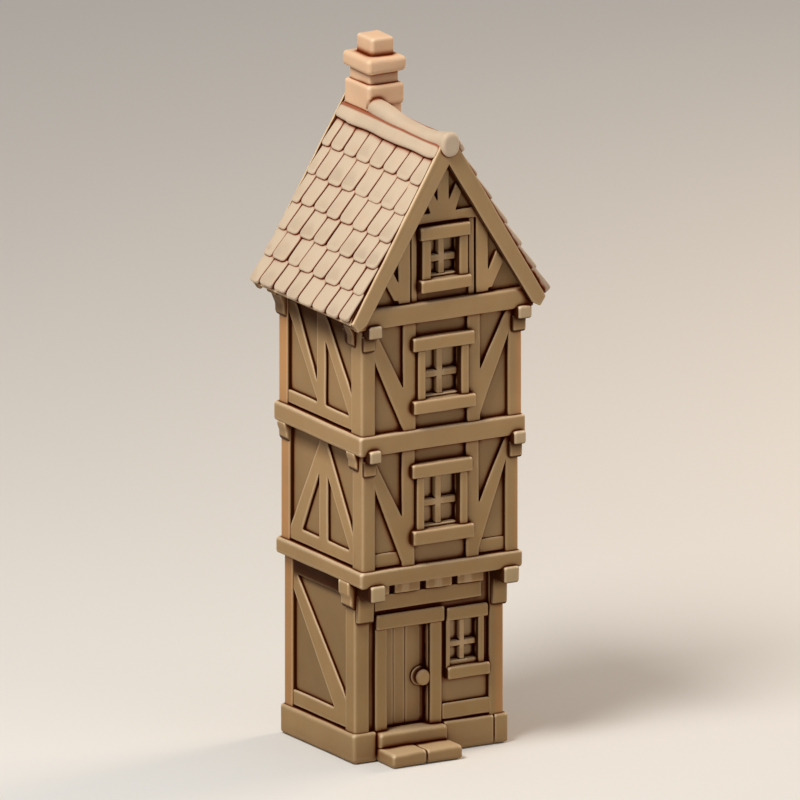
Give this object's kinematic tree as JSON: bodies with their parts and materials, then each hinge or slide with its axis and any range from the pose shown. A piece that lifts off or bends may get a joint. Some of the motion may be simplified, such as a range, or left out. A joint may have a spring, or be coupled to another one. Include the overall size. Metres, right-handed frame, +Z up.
{
  "type": "tabletop model half-timbered house",
  "caption": "Tall narrow half-timbered town house, a tan resin tabletop model with jettied storeys, steep tiled gable roof, barge boards and ridge chimney.",
  "frame": {"origin": "centre of the plinth footprint, on the ground", "axes": "+Z up, the front with the door and the jetties faces -Y, +X to the right seen from the front"},
  "size_m": [0.0782, 0.07, 0.2386],
  "materials": {
    "infill": "matte tan resin with a brown wash in the recesses",
    "timber": "matte tan resin, faint wood grain, brown wash along the joints",
    "stone": "matte tan resin, soft rounded stone edges",
    "door": "matte tan resin, planked grain",
    "roof_tile": "matte pale tan resin with reddish brown wash between the tiles",
    "chimney_stone": "matte pale tan resin, soft rounded edges"
  },
  "bodies": {
    "root": {"ground_front_wall": "infill", "middle_front_wall": "infill", "upper_front_wall": "infill", "back_walls": "infill", "ground_side_walls": "infill", "middle_side_walls": "infill", "upper_side_walls": "infill", "gable_walls": "infill", "window_panes": "infill", "corner_posts": "timber", "wall_plates": "timber", "middle_floor_band": "timber", "upper_floor_band": "timber", "joist_ends": "timber", "ground_front_timbers": "timber", "middle_front_timbers": "timber", "upper_front_timbers": "timber", "ground_side_timbers": "timber", "middle_side_timbers": "timber", "upper_side_timbers": "timber", "back_timbers": "timber", "door_frame": "timber", "front_window_frames": "timber", "back_window_frames": "timber", "front_brackets": "timber", "side_brackets": "timber", "tie_beams": "timber", "gable_timbers": "timber", "left_barge_boards": "timber", "right_barge_boards": "timber", "plinth_sides": "stone", "plinth_ends": "stone", "base_plate": "stone", "ground_floor": "stone", "lower_step": "stone", "door_threshold": "stone", "door_leaf": "door", "door_knob": "door", "left_roof_slope": "roof_tile", "right_roof_slope": "roof_tile", "ridge_cap": "roof_tile", "chimney_shaft": "chimney_stone", "chimney_collar": "chimney_stone", "chimney_neck": "chimney_stone", "chimney_cap": "chimney_stone", "chimney_top": "chimney_stone"}
  },
  "joints": []
}
